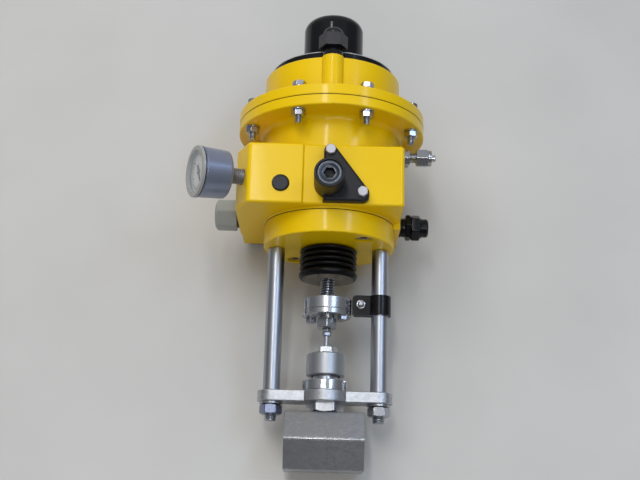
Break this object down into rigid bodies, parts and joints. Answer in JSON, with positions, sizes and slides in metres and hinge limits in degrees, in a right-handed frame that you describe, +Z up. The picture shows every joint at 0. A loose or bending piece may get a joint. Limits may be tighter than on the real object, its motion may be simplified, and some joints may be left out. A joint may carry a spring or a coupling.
{
  "type": "actuated valve",
  "caption": "Small pneumatic control valve: hexagonal threaded valve body on a pillar yoke, round spring actuator, positioner housing, pressure gauge and cable glands.",
  "frame": {"origin": "middle of the valve body's flat base", "axes": "+Z runs up the stem to the cap, +X along the pipe from inlet to outlet, -Y is the front with the adjuster and the gauge to its left"},
  "size_m": [0.2049, 0.1676, 0.393],
  "materials": {
    "stainless": "machined satin",
    "bright_steel": "bright turned",
    "fastener": "bright",
    "packing": "matte",
    "rubber": "satin",
    "bronze": "machined",
    "yellow_paint": "glossy",
    "spring_steel": "satin",
    "plate_aluminium": "machined",
    "black_plastic": "satin",
    "black_gloss": "glossy",
    "black_paint": "satin",
    "blued_steel": "satin",
    "gauge_plastic": "satin",
    "dial_white": "matte",
    "pointer_black": "matte",
    "clear_plastic": "glossy",
    "grey_plastic": "satin"
  },
  "bodies": {
    "frame": {"adjuster_bracket": "black_paint", "bellows": "rubber", "blanking_plug": "black_plastic", "bonnet": "stainless", "bottom_flange": "yellow_paint", "bracket_screws": "fastener", "cap": "black_gloss", "casing_bolts": "fastener", "casing_nuts": "fastener", "casing_washers": "fastener", "clamp_nut": "fastener", "clamp_screw": "fastener", "diaphragm": "rubber", "flange_screws": "fastener", "gauge_case": "gauge_plastic", "gauge_dial": "dial_white", "gauge_socket": "bright_steel", "gauge_window": "clear_plastic", "gland_screw": "stainless", "indicator_clamp": "black_plastic", "left_gland": "grey_plastic", "left_gland_seal": "rubber", "lower_casing": "yellow_paint", "packing_nut": "stainless", "packing_rings": "packing", "pillars": "bright_steel", "positioner_module": "black_plastic", "range_spring": "spring_steel", "rear_cover": "black_paint", "rear_cover_screws": "fastener", "right_gland_body": "black_plastic", "right_gland_nut": "black_plastic", "seat_ring": "stainless", "slotted_nut": "bright_steel", "spindle_bush": "bronze", "spindle_seal": "rubber", "stop_nut": "fastener", "stop_screw": "fastener", "top_plate": "black_gloss", "tube_fitting_body": "bright_steel", "tube_nut": "bright_steel", "tube_stub": "bright_steel", "upper_casing": "yellow_paint", "valve_body": "stainless", "vent_body": "black_plastic", "vent_cap": "black_plastic", "yoke_bar": "stainless", "yoke_nuts": "fastener", "yoke_washers": "fastener"},
    "stem": {"valve_stem": "bright_steel", "jam_nuts": "fastener", "stem_adapter": "stainless", "coupling_lower": "stainless", "coupling_upper": "stainless", "coupling_bolts": "fastener", "spindle": "bright_steel", "diaphragm_plate": "plate_aluminium", "diaphragm_nut": "fastener"},
    "pointer": {"gauge_pointer": "pointer_black"},
    "adjuster": {"adjuster_screw": "blued_steel"}
  },
  "joints": [
    {"name": "stem_slide", "type": "slide", "parent": "frame", "child": "stem", "axis": [0, 0, 1], "range_m": [0, 0.014], "stiffness_N_per_m": 3000, "springref_m": -0.004, "deforming": ["bellows", "diaphragm", "range_spring"]},
    {"name": "gauge_turn", "type": "hinge", "parent": "frame", "child": "pointer", "pos_m": [-0.10343, -0.06494, 0.22625], "axis": [0.8971, 0.4376, 0.061], "range_deg": [0, 270], "stiffness_Nm_per_rad": 0.0002, "springref_deg": -17.19},
    {"name": "adjuster_turn", "type": "hinge", "parent": "frame", "child": "adjuster", "pos_m": [-0.0012, -0.088, 0.2209], "axis": [0, -1, 0], "continuous": true}
  ]
}
